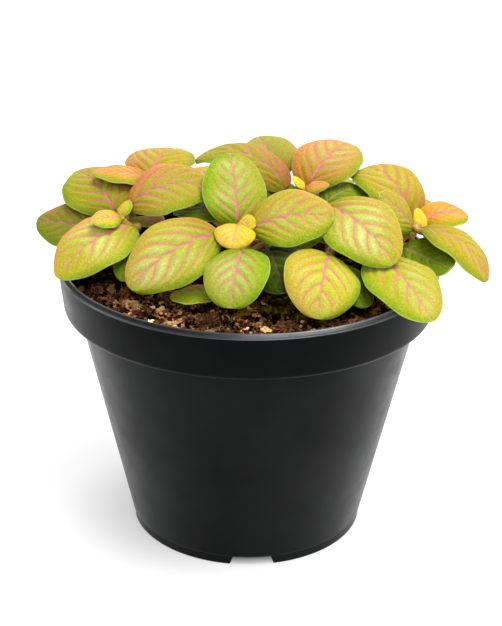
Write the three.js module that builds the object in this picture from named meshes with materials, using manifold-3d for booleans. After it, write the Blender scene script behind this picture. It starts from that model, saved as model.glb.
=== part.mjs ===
// A nerve plant growing in a round nursery pot: the pot, its soil and the leafy shoots.
// Millimetres and degrees, +Z up. The origin is the centre of the pot's underside.
import * as THREE from 'three';
import { mergeVertices } from 'three/addons/utils/BufferGeometryUtils.js';
import Module from 'manifold-3d';

const wasm = await Module();
wasm.setup();

// Driving dimensions of the pot
const SIDES = 48;
const POT_HEIGHT = 89.8;
const RIM_RADIUS = 60;
const COLLAR_BOTTOM = 74.9;
const COLLAR_RADIUS = 58.4;
const BODY_TOP_RADIUS = 54.1;
const BASE_RADIUS = 37.6;
const WALL = 1.3;
const LIP_STEP = 0.6;
const LIP_HEIGHT = 1;
const LIP_WIDTH = 1.6;
const FOOT_HEIGHT = 3;
const FOOT_WIDTH = 2.3;
const FOOT_STEP = 0.4;
const FOOT_SLOPE = 0.3;
const FLOOR_BOTTOM = 2.8;
const FLOOR_TOP = 4.2;
const CENTRE_FOOT_RADIUS = 7;
const NOTCH_COUNT = 4;
const NOTCH_WIDTH = 14;
const NOTCH_BEVEL = 1;
const NOTCH_TURN = 3;
const DRAIN_RADIUS = 4;
const DRAIN_PLACE = 28;
const DRAIN_SIDES = 16;
const CUT_PAST = 1;

// Driving dimensions of the soil
const CLEARANCE = 0.3;
const SOIL_LEVEL = 82;
const MOUND_RISE = 0.5;
const EDGE_DROP = 4;
const SOIL_RINGS = 7;
const BROAD_LUMPS = { height: 0.7, perX: 0.31, perY: 0.27, shift: 0.9 };
const FINE_LUMPS = { height: 0.4, perX: 0.7, perY: 0.5 };
const HOLE_DEPTH = 10;
const HOLE_SIDES = 12;
const CHIP_COUNT = 22;
const CHIP_REACH = 50;
const CHIP_CLEAR = 8;
const CHIP_SEED = 7;
const CHIP_LENGTH = [4, 8];
const CHIP_WIDTH = [2, 4];
const CHIP_DEPTH = [1.4, 2];
const CHIP_TILT = [-20, 20];
const CHIP_ROCK = [-15, 15];

// Driving dimensions that every shoot and leaf shares
const STEM_RADIUS = 1.6;
const STEM_SIDES = 6;
const STEM_STEPS = 4;
const STEM_STRAIGHT = 3;
const STEM_OVERLAP = 1;
const STEM_BEND_REACH = 0.2;
const STEM_BEND_HEIGHT = 0.6;
const STEM_SAMPLES = 40;
const STALK_RADIUS = 0.85;
const BUD_STALK_RADIUS = 0.5;
const STALK_SIDES = 4;
const STALK_STEPS = 3;
const STALK_FALL = 0.4;
const STALK_LEAD = 0.4;
const STALK_RUN = 0.2;
const BUD_LENGTH = 13;
const BLADE_THICKNESS = 0.7;
const BLADE_ROWS = 5;
const BLADE_COLUMNS = 4;
const BLADE_FOLD = 10;
const BLADE_CURL = 0.25;
const BLADE_WIDEST = 0.88;
const BLADE_ROUNDNESS = 0.62;
const SIMPLIFY_WITHIN = 0.04;
const SAME_CORNER = 1e-4;

// Colours
const BLACK_PLASTIC = new THREE.MeshStandardMaterial({ color: 0x1a1b1d, roughness: 0.5, metalness: 0 });
const DARK_SOIL = new THREE.MeshStandardMaterial({ color: 0x3b2417, roughness: 1, metalness: 0 });
const LEAF_GREEN = new THREE.MeshStandardMaterial({ color: 0xb4b83c, roughness: 0.5, metalness: 0 });

const radians = THREE.MathUtils.degToRad;

// One leaf. at is where its blade begins, from the shoot's foot. aim is the compass turn of its
// midrib from +X, its rise at the base, its droop along the length and its roll about the midrib.
// size is the blade's length and width. sweep bends the midrib sideways.
function leaf(at, aim, size, sweep = 0) {
  const [turn, rise, droop, roll] = aim;
  const [long, wide] = size;
  return { at, turn, rise, droop, roll, long, wide, sweep };
}

const LEFT_SHOOT = {
  foot: [-30, -4],
  top: [-9.5, -1.5, 22],
  leaves: [
    leaf([-16, 2, 16], [155, 10, 20, -40], [24, 17]), // out to the far left, low
    leaf([-11.5, 5.5, 21.5], [125, 30, 35, -15], [28, 23], -5), // up and to the left
    leaf([-5, -1.5, 19.8], [-145, 5, 55, -15], [31, 23], -5), // large, to the front left
    leaf([-7.5, 2.5, 24], [5, 50, 75, 25], [29, 22], -5), // behind the stem, on its side
    leaf([-5, -5, 13.5], [-100, 0, 40, 10], [15, 11], -5), // low at the front, half hidden
    leaf([-9.5, -3, 23], [-150, 15, 25, -30], [10, 7.5]), // small, at the tip
    leaf([-10, -1, 22.5], [55, 50, 20, 0], [6.5, 5]), // bud at the tip
  ],
};

const MIDDLE_LEFT_SHOOT = {
  foot: [-27, 12],
  top: [-6.5, 5, 26.5],
  leaves: [
    leaf([-6, 8, 26.5], [75, 20, 35, 0], [29, 23]), // large, held up at the back
    leaf([-5, 2, 28.5], [185, 20, 25, -10], [18, 12.5]), // small and flat, to the left
  ],
};

const CENTRE_SHOOT = {
  foot: [0, -11],
  top: [-3, -3.5, 21.5],
  leaves: [
    leaf([-3.5, -1, 23], [100, 55, 15, 0], [24, 20]), // round, upright, facing the front
    leaf([0.5, -4, 22.5], [-5, 35, 50, 40], [26, 20], 5), // tilted to the right
    leaf([-8.8, -6, 22], [-155, 0, 50, -30], [33, 24]), // large, to the front left
    leaf([-2, -13, 20], [-100, -5, 50, 5], [23, 20]), // round, hanging at the front
    leaf([5.5, -3, 16.5], [-75, 0, 30, 20], [23, 17], -5), // low, to the front right
    leaf([3, 3, 17], [10, 15, 30, 20], [20, 15]), // low, to the right
    leaf([-10, 5, 22.5], [135, 20, 45, -10], [19, 14]), // low, behind on the left
    leaf([-8, -15, 6.5], [175, 0, 15, -10], [16, 11]), // low at the front left
    leaf([-3.5, -4.2, 24.3], [-100, 5, 60, -5], [10.5, 12.5]), // small, hanging from the tip
    leaf([-1.4, -4.2, 21.7], [70, 60, 15, -15], [6, 6.4]), // bud at the tip
  ],
};

const TOP_SHOOT = {
  foot: [12, 12],
  top: [3.5, 2, 25],
  leaves: [
    leaf([-1, 2.5, 25.5], [150, 55, 90, 0], [35, 24], 15), // large, arching over to the left
    leaf([-3, 13, 25.5], [110, 40, 45, -10], [24, 20], -5), // behind the arch
    leaf([6.5, 3, 26], [55, 45, 60, 10], [29, 22]), // large, held up to the right
    leaf([11, -3, 21.5], [40, 30, 50, 10], [20, 14]), // low, to the right
    leaf([2, 2.5, 22.5], [140, 30, 40, -15], [12, 9]), // small, to the left
    leaf([5.5, 0, 26], [-5, 30, 30, 25], [8, 5.5]), // small, to the right
    leaf([5, 1, 26], [135, 50, 30, 0], [5.5, 4]), // bud at the tip
  ],
};

const MIDDLE_RIGHT_SHOOT = {
  foot: [25, -9],
  top: [-1, 0, 26],
  leaves: [
    leaf([-1.5, 2.5, 27.5], [-50, 5, 55, 25], [31, 23], 10), // large, to the front right
    leaf([-1, -11, 17], [-100, 0, 50, -20], [27, 24]), // round, hanging at the front
    leaf([0.5, -5, 11.5], [-60, -5, 30, -5], [21, 15]), // low, to the front right
  ],
};

const RIGHT_SHOOT = {
  foot: [38, -4],
  top: [15, 7, 18],
  leaves: [
    leaf([13, 14, 15.5], [130, 80, 115, -5], [33, 22]), // upright, bent back over its base
    leaf([13, 3.5, 17.5], [190, 60, 25, -35], [17, 13]), // small, turned to the left
    leaf([16, 10, 18], [25, 25, 55, 25], [18, 12], -5), // small, to the far right
    leaf([15.5, 2, 19], [-25, 5, 70, -5], [28, 21], -10), // out over the rim
    leaf([9.5, 4, 12], [-55, 0, 0, 30], [23, 17], 5), // low, to the front right
    leaf([0.5, -10.5, 14], [-65, 5, 40, 5], [34, 22], 5), // long, hanging at the front
    leaf([16.5, 6.5, 16.5], [105, 55, 25, 5], [8, 4.5]), // bud at the tip
  ],
};

// The shoots at the back grow to one pattern: two pairs of leaves that cross, and a pair of buds.
const BACK_PATTERN = {
  top: [0, 0, 17],
  leaves: [
    leaf([7, 0, 8], [0, 15, 45, 0], [24, 17]), // first pair
    leaf([-7, 0, 12], [180, 25, 50, 0], [24, 17]), // first pair
    leaf([0, 6, 14], [90, 25, 50, 0], [23, 17]), // second pair
    leaf([0, -5, 15], [270, 35, 45, 0], [16, 12]), // second pair, smaller
    leaf([1.5, 1.5, 17.5], [45, 55, 20, 0], [8, 6]), // bud
    leaf([-1.5, -1.5, 17.5], [225, 55, 20, 0], [8, 6]), // bud
  ],
};

const BACK_PLACES = [
  { foot: [-38, 17], turn: 25 },
  { foot: [-18, 40], turn: -15 },
  { foot: [13, 39], turn: -50 },
  { foot: [40, 26.5], turn: 75 },
];

// A leafy shoot of the back pattern, turned about its foot.
function backShoot({ foot, turn }) {
  const spin = new THREE.Matrix4().makeRotationZ(radians(turn));
  const spun = (point) => new THREE.Vector3(...point).applyMatrix4(spin).toArray();
  const leaves = BACK_PATTERN.leaves.map((one) => ({ ...one, at: spun(one.at), turn: one.turn + turn }));
  return { foot, top: spun(BACK_PATTERN.top), leaves };
}

const SHOOTS = {
  shoot_left: LEFT_SHOOT,
  shoot_middle_left: MIDDLE_LEFT_SHOOT,
  shoot_centre: CENTRE_SHOOT,
  shoot_top: TOP_SHOOT,
  shoot_middle_right: MIDDLE_RIGHT_SHOOT,
  shoot_right: RIGHT_SHOOT,
};
BACK_PLACES.forEach((place, index) => {
  SHOOTS[`shoot_back_${index + 1}`] = backShoot(place);
});

// Closed geometry to a solid, with shared corners merged and empty triangles dropped.
function toSolid(geometry) {
  const bare = new THREE.BufferGeometry();
  bare.setAttribute('position', geometry.attributes.position);
  bare.setIndex(geometry.index);
  const merged = mergeVertices(bare, SAME_CORNER);
  const corners = [];
  for (let i = 0; i < merged.index.count; i += 3) {
    const [a, b, c] = [0, 1, 2].map((k) => merged.index.getX(i + k));
    if (a !== b && b !== c && c !== a) {
      corners.push(a, b, c);
    }
  }
  const vertProperties = new Float32Array(merged.attributes.position.array);
  const triVerts = new Uint32Array(corners);
  return new wasm.Manifold(new wasm.Mesh({ numProp: 3, vertProperties, triVerts }));
}

// A solid back to a named mesh.
function toMesh(name, solid, material) {
  const { numProp, vertProperties, triVerts } = solid.getMesh();
  const position = new Float32Array((vertProperties.length / numProp) * 3);
  for (let i = 0; i < position.length; i += 1) {
    position[i] = vertProperties[Math.floor(i / 3) * numProp + (i % 3)];
  }
  const geometry = new THREE.BufferGeometry();
  geometry.setAttribute('position', new THREE.BufferAttribute(position, 3));
  geometry.setIndex(new THREE.BufferAttribute(new Uint32Array(triVerts), 1));
  geometry.computeVertexNormals();
  const mesh = new THREE.Mesh(geometry, material);
  mesh.name = name;
  return mesh;
}

// A profile of [radius, height] points turned about Z.
function turned(profile, sides) {
  const points = profile.map(([radius, height]) => new THREE.Vector2(radius, height));
  return new THREE.LatheGeometry(points, sides).rotateX(Math.PI / 2);
}

// The radius of the inside of the pot's body at a height.
function innerRadius(height) {
  const share = height / COLLAR_BOTTOM;
  return THREE.MathUtils.lerp(BASE_RADIUS, BODY_TOP_RADIUS, share) - WALL;
}

// The pot's outside from the ground up, over the lip and down its inside.
function potProfile() {
  const lipOuter = RIM_RADIUS - LIP_STEP;
  const lipInner = lipOuter - LIP_WIDTH;
  const shelf = COLLAR_BOTTOM + WALL;
  return [
    [0, 0],
    [CENTRE_FOOT_RADIUS, 0],
    [CENTRE_FOOT_RADIUS, FLOOR_BOTTOM],
    [BASE_RADIUS - FOOT_WIDTH, FLOOR_BOTTOM],
    [BASE_RADIUS - FOOT_WIDTH, 0],
    [BASE_RADIUS, 0],
    [BASE_RADIUS, FOOT_HEIGHT],
    [BASE_RADIUS + FOOT_STEP, FOOT_HEIGHT + FOOT_SLOPE],
    [BODY_TOP_RADIUS, COLLAR_BOTTOM],
    [COLLAR_RADIUS, COLLAR_BOTTOM],
    [RIM_RADIUS, POT_HEIGHT - LIP_HEIGHT],
    [lipOuter, POT_HEIGHT - LIP_HEIGHT],
    [lipOuter, POT_HEIGHT],
    [lipInner, POT_HEIGHT],
    [COLLAR_RADIUS - WALL, shelf],
    [innerRadius(shelf), shelf],
    [innerRadius(FLOOR_TOP), FLOOR_TOP],
    [0, FLOOR_TOP],
  ];
}

// The turn of a notch from the pot's front.
function notchBearing(index) {
  return radians(NOTCH_TURN) + (index * 2 * Math.PI) / NOTCH_COUNT;
}

// A drain notch through the foot ring, narrower at its top.
function notchCutter(index) {
  const half = NOTCH_WIDTH / 2;
  const outline = new THREE.Shape();
  outline.moveTo(-half, -CUT_PAST);
  outline.lineTo(half, -CUT_PAST);
  outline.lineTo(half - NOTCH_BEVEL, FLOOR_BOTTOM);
  outline.lineTo(-half + NOTCH_BEVEL, FLOOR_BOTTOM);
  const depth = 3 * FOOT_WIDTH;
  const cutter = new THREE.ExtrudeGeometry(outline, { depth, bevelEnabled: false });
  cutter.translate(0, 0, BASE_RADIUS - depth / 2);
  cutter.rotateX(Math.PI / 2);
  cutter.rotateZ(notchBearing(index));
  return toSolid(cutter);
}

// A round drain hole through the floor behind a notch.
function drainCutter(index) {
  const tall = FLOOR_TOP - FLOOR_BOTTOM + 2 * CUT_PAST;
  const cutter = new THREE.CylinderGeometry(DRAIN_RADIUS, DRAIN_RADIUS, tall, DRAIN_SIDES);
  cutter.rotateX(Math.PI / 2);
  cutter.translate(0, -DRAIN_PLACE, (FLOOR_TOP + FLOOR_BOTTOM) / 2);
  cutter.rotateZ(notchBearing(index));
  return toSolid(cutter);
}

function makePot() {
  let pot = toSolid(turned(potProfile(), SIDES));
  for (let index = 0; index < NOTCH_COUNT; index += 1) {
    pot = pot.subtract(notchCutter(index)).subtract(drainCutter(index));
  }
  return toMesh('pot', pot, BLACK_PLASTIC);
}

// The height of the soil's surface: a low mound with lumps.
function groundHeight(x, y) {
  const share = Math.hypot(x, y) / RIM_RADIUS;
  const broad = Math.sin(BROAD_LUMPS.perX * x + BROAD_LUMPS.shift) * Math.cos(BROAD_LUMPS.perY * y);
  const fine = Math.sin(FINE_LUMPS.perX * x - FINE_LUMPS.perY * y);
  const lumps = BROAD_LUMPS.height * broad + FINE_LUMPS.height * fine;
  return SOIL_LEVEL + MOUND_RISE - EDGE_DROP * share ** 2 + lumps;
}

// The soil fills the pot to its surface, and steps out over the shelf in the collar.
function soilBody() {
  const shelf = COLLAR_BOTTOM + WALL + CLEARANCE;
  const bottom = FLOOR_TOP + CLEARANCE;
  const edge = COLLAR_RADIUS - WALL - CLEARANCE;
  const profile = [
    [0, bottom],
    [innerRadius(bottom) - CLEARANCE, bottom],
    [innerRadius(shelf) - CLEARANCE, shelf],
    [edge, shelf],
  ];
  for (let ring = SOIL_RINGS; ring >= 0; ring -= 1) {
    profile.push([(edge * ring) / SOIL_RINGS, SOIL_LEVEL]);
  }
  const geometry = turned(profile, SIDES);
  const { position } = geometry.attributes;
  const halfway = (shelf + SOIL_LEVEL) / 2;
  for (let i = 0; i < position.count; i += 1) {
    if (position.getZ(i) > halfway) {
      position.setZ(i, groundHeight(position.getX(i), position.getY(i)));
    }
  }
  return toSolid(geometry);
}

// The same draws between 0 and 1 on every run.
function seededDraw(seed) {
  let state = seed;
  return () => {
    state = (state * 1664525 + 1013904223) % 4294967296;
    return state / 4294967296;
  };
}

// Bark chips strewn over the soil and half sunk in it, clear of the stems.
function barkChips() {
  const draw = seededDraw(CHIP_SEED);
  const between = ([low, high]) => THREE.MathUtils.lerp(low, high, draw());
  const chips = [];
  for (let index = 0; index < CHIP_COUNT; index += 1) {
    const reach = CHIP_REACH * Math.sqrt(draw());
    const bearing = 2 * Math.PI * draw();
    const x = reach * Math.cos(bearing);
    const y = reach * Math.sin(bearing);
    const chip = new THREE.BoxGeometry(between(CHIP_LENGTH), between(CHIP_WIDTH), between(CHIP_DEPTH));
    chip.rotateX(radians(between(CHIP_TILT)));
    chip.rotateY(radians(between(CHIP_ROCK)));
    chip.rotateZ(2 * Math.PI * draw());
    chip.translate(x, y, groundHeight(x, y));
    const distances = Object.values(SHOOTS).map(({ foot }) => Math.hypot(foot[0] - x, foot[1] - y));
    if (Math.min(...distances) > CHIP_CLEAR) {
      chips.push(toSolid(chip));
    }
  }
  return chips;
}

// The plain hole that a stem stands in.
function stemHole([x, y]) {
  const radius = STEM_RADIUS + CLEARANCE;
  const tall = 3 * HOLE_DEPTH;
  const hole = new THREE.CylinderGeometry(radius, radius, tall, HOLE_SIDES).rotateX(Math.PI / 2);
  hole.translate(x, y, SOIL_LEVEL - HOLE_DEPTH + tall / 2);
  return toSolid(hole);
}

function makeSoil() {
  let soil = soilBody();
  for (const chip of barkChips()) {
    soil = soil.add(chip);
  }
  for (const { foot } of Object.values(SHOOTS)) {
    soil = soil.subtract(stemHole(foot));
  }
  const [whole] = soil.decompose().sort((a, b) => b.volume() - a.volume());
  return toMesh('soil', whole, DARK_SOIL);
}

// A rod of one radius along a curve.
function rod(curve, radius, sides, steps) {
  const corners = [];
  for (let side = 0; side < sides; side += 1) {
    const turn = (2 * Math.PI * side) / sides;
    corners.push(new THREE.Vector2(radius * Math.cos(turn), radius * Math.sin(turn)));
  }
  const section = new THREE.Shape(corners);
  return toSolid(new THREE.ExtrudeGeometry(section, { steps, bevelEnabled: false, extrudePath: curve }));
}

// The straight foot of a stem, which stands in its hole.
function stemFoot([x, y]) {
  const seat = SOIL_LEVEL - HOLE_DEPTH + CLEARANCE;
  const tall = SOIL_LEVEL + STEM_STRAIGHT - seat;
  const peg = new THREE.CylinderGeometry(STEM_RADIUS, STEM_RADIUS, tall, STEM_SIDES);
  peg.rotateX(Math.PI / 2);
  peg.translate(x, y, seat + tall / 2);
  return toSolid(peg);
}

// Above its foot the stem leans over to its top.
function stemCurve({ foot: [x, y], top: [dx, dy, dz] }) {
  const start = new THREE.Vector3(x, y, SOIL_LEVEL + STEM_STRAIGHT - STEM_OVERLAP);
  const bend = new THREE.Vector3(x, y, SOIL_LEVEL);
  bend.add(new THREE.Vector3(STEM_BEND_REACH * dx, STEM_BEND_REACH * dy, STEM_BEND_HEIGHT * dz));
  const end = new THREE.Vector3(x + dx, y + dy, SOIL_LEVEL + dz);
  return new THREE.QuadraticBezierCurve3(start, bend, end);
}

// The directions along, across and out of a blade at a share of its length.
function bladeFrame(one, share) {
  const slope = radians(one.rise - one.droop * share);
  const turn = radians(one.turn + one.sweep * share);
  const roll = radians(one.roll);
  const along = new THREE.Vector3(
    Math.cos(slope) * Math.cos(turn),
    Math.cos(slope) * Math.sin(turn),
    Math.sin(slope),
  );
  const level = new THREE.Vector3(-Math.sin(turn), Math.cos(turn), 0);
  const across = level.applyAxisAngle(along, roll);
  const out = new THREE.Vector3().crossVectors(along, across);
  return { along, across, out };
}

// The midrib as points, stepped along the blade's arc.
function midrib(one, origin, rows) {
  const points = [origin.clone()];
  for (let row = 1; row <= rows; row += 1) {
    const { along } = bladeFrame(one, (row - 0.5) / rows);
    points.push(points[row - 1].clone().addScaledVector(along, one.long / rows));
  }
  return points;
}

// Half the blade's width at a share of its length.
function halfWidth(one, share) {
  return (one.wide / 2) * Math.sin(Math.PI * share ** BLADE_WIDEST) ** BLADE_ROUNDNESS;
}

// A blade: one thickness of leaf, folded a little along its midrib, with edges that curl down.
// Its two faces are split into triangles alike.
function bladeSolid(one, origin) {
  const rows = BLADE_ROWS;
  const columns = one.long < BUD_LENGTH ? BLADE_COLUMNS / 2 : BLADE_COLUMNS;
  const spine = midrib(one, origin, rows);
  const fold = Math.sin(radians(BLADE_FOLD));
  const positions = [];
  for (const side of [0.5, -0.5]) {
    for (let row = 0; row <= rows; row += 1) {
      const share = row / rows;
      const { across, out } = bladeFrame(one, share);
      const half = row === rows ? 0 : halfWidth(one, share);
      for (let column = 0; column <= columns; column += 1) {
        const v = (2 * column) / columns - 1;
        const lift = half * (fold * Math.abs(v) - BLADE_CURL * v * v) + side * BLADE_THICKNESS;
        const point = spine[row].clone().addScaledVector(across, half * v).addScaledVector(out, lift);
        positions.push(...point.toArray());
      }
    }
  }
  const wide = columns + 1;
  const under = wide * (rows + 1);
  const index = [];
  const quad = (a, b, c, d) => index.push(a, b, c, a, c, d);
  for (let row = 0; row < rows; row += 1) {
    const left = row * wide;
    const right = left + columns;
    for (let a = left; a < right; a += 1) {
      const [b, c, d] = [a + wide, a + wide + 1, a + 1];
      quad(a, b, c, d);
      quad(c + under, b + under, a + under, d + under);
    }
    quad(left, left + under, left + wide + under, left + wide);
    quad(right, right + wide, right + wide + under, right + under);
  }
  const geometry = new THREE.BufferGeometry();
  geometry.setAttribute('position', new THREE.Float32BufferAttribute(positions, 3));
  geometry.setIndex(index);
  return toSolid(geometry);
}

// The stalk leaves the stem a little below the blade, and runs on under the blade's base.
function stalkCurve(one, origin, stem) {
  const reachTo = (point) => Math.hypot(origin.x - point.x, origin.y - point.y);
  const samples = stem.getPoints(STEM_SAMPLES);
  const score = (point) => Math.abs(origin.z - STALK_FALL * reachTo(point) - point.z);
  const node = samples.reduce((best, point) => (score(point) < score(best) ? point : best));
  const { along, out } = bladeFrame(one, 0);
  const run = bladeFrame(one, STALK_RUN / 2).along;
  const lead = origin.clone().addScaledVector(along, -STALK_LEAD * node.distanceTo(origin));
  const base = origin.clone().addScaledVector(out, -BLADE_THICKNESS / 2);
  const end = base.clone().addScaledVector(run, STALK_RUN * one.long);
  return new THREE.CatmullRomCurve3([node.clone(), lead, base, end]);
}

function makeShoot(name, shoot) {
  const stem = stemCurve(shoot);
  const [x, y] = shoot.foot;
  let solid = stemFoot(shoot.foot).add(rod(stem, STEM_RADIUS, STEM_SIDES, STEM_STEPS));
  for (const one of shoot.leaves) {
    const [dx, dy, dz] = one.at;
    const origin = new THREE.Vector3(x + dx, y + dy, SOIL_LEVEL + dz);
    const radius = one.long < BUD_LENGTH ? BUD_STALK_RADIUS : STALK_RADIUS;
    const stalk = rod(stalkCurve(one, origin, stem), radius, STALK_SIDES, STALK_STEPS);
    solid = solid.add(stalk).add(bladeSolid(one, origin));
  }
  return toMesh(name, solid.simplify(SIMPLIFY_WITHIN), LEAF_GREEN);
}

const group = new THREE.Group();
group.add(makePot());
group.add(makeSoil());
for (const [name, shoot] of Object.entries(SHOOTS)) {
  group.add(makeShoot(name, shoot));
}

export default group;
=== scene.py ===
import math
from collections import namedtuple

import bmesh
import bpy
import numpy as np
from mathutils import Matrix, Vector, noise


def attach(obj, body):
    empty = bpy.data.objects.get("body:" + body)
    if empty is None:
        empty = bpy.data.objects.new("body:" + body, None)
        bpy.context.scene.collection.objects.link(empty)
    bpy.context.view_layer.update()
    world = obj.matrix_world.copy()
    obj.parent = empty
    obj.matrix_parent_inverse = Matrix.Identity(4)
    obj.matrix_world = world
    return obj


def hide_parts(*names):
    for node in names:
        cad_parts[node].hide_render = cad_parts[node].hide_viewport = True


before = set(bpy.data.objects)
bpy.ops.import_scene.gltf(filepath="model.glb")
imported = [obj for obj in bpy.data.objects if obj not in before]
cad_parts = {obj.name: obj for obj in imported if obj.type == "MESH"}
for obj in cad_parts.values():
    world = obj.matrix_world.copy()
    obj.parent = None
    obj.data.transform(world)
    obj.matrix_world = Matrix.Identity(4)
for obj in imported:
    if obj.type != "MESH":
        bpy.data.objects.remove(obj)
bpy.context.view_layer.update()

# A nerve plant in a nursery pot. Sizes are in millimetres and degrees, as in the CAD source,
# and become metres when a mesh is made.
MM = 0.001

# The picture and the camera that took it
PICTURE = (502, 626)
SENSOR = 36
FOCAL_PIXELS = 1600
CAMERA_PLACE = (0, -468.5, 277.5)
CAMERA_PITCH = 23.83
CAMERA_ROLL = 0.67
CAMERA_NEAR = 10
CENTRE_SHIFT_PIXELS = 2.5

# The studio: the floor's half width and linear tones, the bands in which its own glow is dimmed under
# the pot and beside it as a painted shadow, and soft lamps that are aimed at a height on the pot's axis
FLOOR_REACH = 6000
FLOOR_TONES = ((0.5, 0.5, 0.5, 1), (0.52, 0.52, 0.52, 1))
UNDER_POT = (32, 39)
SHADE_PLACE = (-20, -4)
SHADE_REACH = (20, 48)
SKY_STRENGTH = 0.35
Lamp = namedtuple("Lamp", "name place aim size power")
LAMPS = [
    Lamp("key", (300, -120, 1130), 80, (1100, 550), 15),
    Lamp("front", (100, -1200, 1000), 80, (900, 500), 6),
    Lamp("back", (0, 1500, 740), 88, (2000, 500), 12),
    Lamp("left", (-1500, 0, 700), 60, (1200, 1200), 5),
    Lamp("right", (1500, 300, 600), 60, (1200, 1200), 2),
]

# The pot, with the linear colours of its plastic and of the scuffs on it
POT_HEIGHT = 89.8
RIM_RADIUS = 60
COLLAR_BOTTOM = 74.9
COLLAR_RADIUS = 58.4
BODY_TOP_RADIUS = 54.1
BASE_RADIUS = 37.6
WALL = 1.3
LIP_STEP = 0.6
LIP_HEIGHT = 1
LIP_SLOPE = 0.8
LIP_BEVEL = 1.1
LIP_WIDTH = 1.6
FOOT_HEIGHT = 3
FOOT_WIDTH = 2.3
FOOT_STEP = 0.4
FOOT_SLOPE = 0.3
FLOOR_BOTTOM = 2.8
FLOOR_TOP = 4.2
CENTRE_FOOT_RADIUS = 7
NOTCH_COUNT = 4
NOTCH_WIDTH = 14
NOTCH_BEVEL = 1.0
NOTCH_TURN = 3
DRAIN_RADIUS = 4
DRAIN_PLACE = 28
DRAIN_SIDES = 40
POT_SIDES = 192
FILLET_STEPS = 7
PLASTIC_BLACK = (0.0015, 0.0016, 0.0018, 1)
PLASTIC_SCUFF = (0.004, 0.004, 0.0044, 1)

# The soil
SOIL_LEVEL = 82
MOUND_RISE = 0.5
EDGE_DROP = 4
SOIL_EDGE = 56.7
STREWN_REACH = SOIL_EDGE - 1.0
GROUND_RINGS = 110
GROUND_COLUMNS = 420
GROUND_SUNK = 1.1
BROAD_LUMPS = {"height": 0.7, "per_x": 0.31, "per_y": 0.27, "shift": 0.9}
FINE_LUMPS = {"height": 0.4, "per_x": 0.7, "per_y": 0.5}
CHIP_COUNT = 22
CHIP_REACH = 50
CHIP_CLEAR = 8
CHIP_SEED = 7
CHIP_LENGTH = (4, 8)
CHIP_WIDTH = (2, 4)
CHIP_DEPTH = (1.4, 2)
CHIP_TILT = (-20, 20)
CHIP_ROCK = (-15, 15)
CHIP_TONES = ["russet", "brown", "tan", "brown", "russet", "dark"]
CRUMBS = {
    "soil_grit": {"count": 6000, "sizes": (0.16, 0.5), "divisions": 1, "seed": 11},
    "soil_crumbs": {"count": 1500, "sizes": (0.45, 1.1), "divisions": 2, "seed": 13},
}
CRUMB_TONES = ["black"] * 4 + ["dark"] * 6 + ["brown"] * 7 + ["russet"] * 4 + ["tan"] * 3 + ["pale"] * 2
FIBRE_COUNT = 140
FIBRE_SEED = 23
FIBRE_STEPS = 9
FIBRE_SIDES = 6
FIBRE_TONES = ["tan", "russet", "pale", "brown"]
MOSS_SEED = 31
MOSS_PER_MM = 14
MOSS_PATCHES = [
    ((8, -20), 6), ((16, -25), 6), ((-46, -3), 3),
    ((22, -28), 4), ((-20, 24), 5), ((30, 18), 4),
]

# Painted daylight on the soil: how bright it is under the leaves, how much more at the front, and how
# much painted shade takes away at the rim, with where the front and the rim begin and end
PAINTED_DAYLIGHT = {"under": 0.42, "front": 2.18, "rim": 0.8}
FRONT_BAND = (-8, -38)
FRONT_SKEW = 0.25
RIM_BAND = (SOIL_EDGE - 3.5, SOIL_EDGE - 1)

# Stems, stalks and blades
STEM_RADIUS = 1.6
STEM_STRAIGHT = 3
STEM_OVERLAP = 1
STEM_BEND_REACH = 0.2
STEM_BEND_HEIGHT = 0.6
STEM_SAMPLES = 40
STEM_RINGS = 26
STEM_SIDES = 16
STEM_TAPER = 0.25
STEM_KNOT = {"swell": 0.12, "at": 0.72, "reach": 0.06}
STALK_RADIUS = 1.0
BUD_STALK_RADIUS = 0.5
STALK_FALL = 0.4
STALK_LEAD = 0.4
STALK_SIDES = 10
STALK_RINGS = 7
RIB_RINGS = 12
RIB_REACH = 0.9
RIB_THIN = 0.25
BUD_LENGTH = 13
HAIRS_PER_MM = 6
HAIR_RADIUS = 0.04
HAIR_LENGTH = (0.5, 1.1)
HAIR_LEAN = 0.3
BLADE_THICKNESS = 0.4
BLADE_FOLD = 10
BLADE_CURL = 0.25
BLADE_WIDEST = 0.88
BLADE_GRID = (56, 46)
PLAIN_GRID = (40, 32)
RIM_START = 0.985
RIM_CRISPNESS = 14
BASE_POWER = 0.64
TIP_POWER = 0.5
ROUND = (0.5, 0.38)

# Veins: how many to the length, how they bend towards the tip, and how far the blade puffs up
# between them and waves at its rim on a leaf of the usual length
VEINS = 5.6
VEIN_BEND = 0.3
VEIN_REACH = 0.93
VEIN_STAGGER = 0.3
USUAL_LENGTH = 30
PUFF = 0.8
GROOVE = 0.25
GROOVE_WIDTH = 0.7
RIM_WAVE = 0.35
RIM_WAVES = 2.3
RUMPLE = 0.3
WAVE_SHIFT = 2.4

# Colours as red, green and blue from 0 to 255. A look is a blade's colour, how strong its veins are,
# how much more blushed its tip is, and how strongly painted shade darkens its base.
Look = namedtuple("Look", "colour veins tip base", defaults=(0.9, 0, 0.75))
LOOKS = {
    "fresh": Look((152, 176, 26), base=1.0),
    "lime": Look((172, 178, 26), tip=0.1),
    "golden": Look((192, 180, 16), tip=0.3),
    "sunny": Look((192, 190, 22), tip=0.5),
    "amber": Look((218, 160, 30), tip=0.4),
    "blushed": Look((190, 156, 46), tip=0.4),
    "turning": Look((172, 176, 26), tip=-0.6),
    "lemon": Look((237, 203, 44), veins=0.62, tip=0.2, base=0.3),
    "herb": Look((134, 172, 0), veins=0.35),
    # The deep and shade looks are darker greens for leaves low in the foliage, partly painted shade
    "deep": Look((104, 138, 0), veins=0.3),
    "shade": Look((72, 104, 0), veins=0.15),
}
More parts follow.
